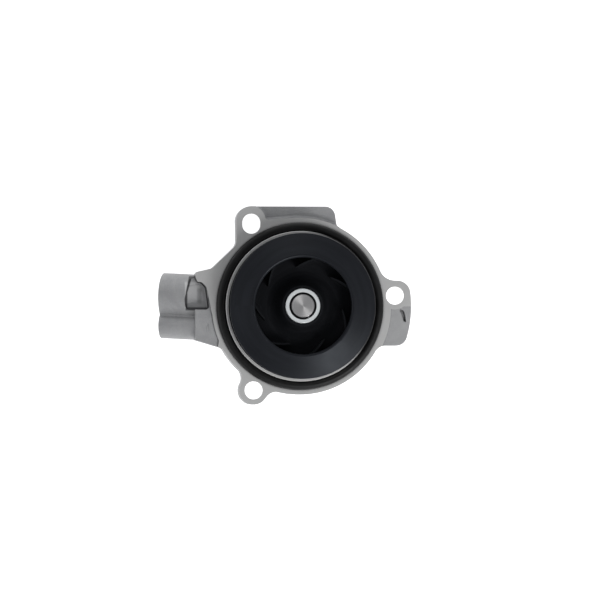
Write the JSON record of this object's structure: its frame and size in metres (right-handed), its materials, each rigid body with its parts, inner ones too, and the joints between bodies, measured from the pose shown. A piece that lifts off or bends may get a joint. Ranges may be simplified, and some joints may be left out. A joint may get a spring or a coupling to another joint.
{
  "type": "engine coolant pump",
  "caption": "Belt-driven engine coolant pump: eared cast housing with an O-ring spigot, shrouded plastic impeller, sprung face seal, ball-and-roller bearing shaft and toothed pulley.",
  "frame": {"origin": "centre of the machined flange face, on the shaft axis", "axes": "+Z along the shaft axis from the pulley to the impeller, towards the engine block; -X towards the blank valve boss; +Y towards the slotted ear and the top pad"},
  "size_m": [0.1265, 0.0992, 0.0787],
  "materials": {
    "cast_aluminium": "as-cast skin with machined faces",
    "seal_rubber": "smooth moulded",
    "lip_rubber": "moulded",
    "bellows_rubber": "moulded",
    "bearing_steel": "ground",
    "shaft_steel": "ground, with a turned end face",
    "bush_steel": "turned",
    "stamped_steel": "stamped stainless sheet",
    "spring_steel": "drawn wire",
    "carbon_graphite": "lapped carbon graphite",
    "silicon_carbide": "lapped silicon carbide",
    "impeller_plastic": "glass-filled moulding",
    "shroud_plastic": "glass-filled moulding",
    "sintered_steel": "sintered and steam-treated",
    "cage_plastic": "moulded polyamide"
  },
  "bodies": {
    "housing": {"pump_housing": "cast_aluminium", "flange_o_ring": "seal_rubber", "bearing_outer_race": "bearing_steel", "bearing_seal_front": "lip_rubber", "bearing_seal_rear": "lip_rubber", "seal_cup": "stamped_steel", "seal_bellows": "bellows_rubber", "seal_spring": "spring_steel"},
    "seal_float": {"seal_spring_retainer": "stamped_steel", "seal_carbon_ring": "carbon_graphite"},
    "rotor": {"pump_shaft": "shaft_steel", "impeller_hub_bush": "bush_steel", "impeller_vane_disc": "impeller_plastic", "impeller_front_shroud": "shroud_plastic", "belt_pulley": "sintered_steel", "seal_rotating_sleeve": "stamped_steel", "seal_rotating_boot": "bellows_rubber", "seal_mating_ring": "silicon_carbide", "slinger_ring": "stamped_steel"},
    "ball_train": {"ball_cage": "cage_plastic", "bearing_balls": "bearing_steel"},
    "roller_train": {"roller_cage": "cage_plastic", "bearing_rollers": "bearing_steel"}
  },
  "joints": [
    {"name": "rotor_spin", "type": "hinge", "parent": "housing", "child": "rotor", "pos_m": [0, 0, 0], "axis": [0, 0, 1], "continuous": true},
    {"name": "ball_train_spin", "type": "hinge", "parent": "housing", "child": "ball_train", "pos_m": [0, 0, -0.0175], "axis": [0, 0, 1], "continuous": true},
    {"name": "roller_train_spin", "type": "hinge", "parent": "housing", "child": "roller_train", "pos_m": [0, 0, -0.0385], "axis": [0, 0, 1], "continuous": true},
    {"name": "seal_face_float", "type": "slide", "parent": "housing", "child": "seal_float", "axis": [0, 0, 1], "range_m": [-0.0008, 0], "stiffness_N_per_m": 8000, "springref_m": 0.0035, "deforming": ["seal_spring", "seal_bellows"]}
  ],
  "couplings": [
    {"joint": "ball_train_spin", "follows": "rotor_spin", "ratio": 0.34251},
    {"joint": "roller_train_spin", "follows": "rotor_spin", "ratio": 0.39014}
  ]
}
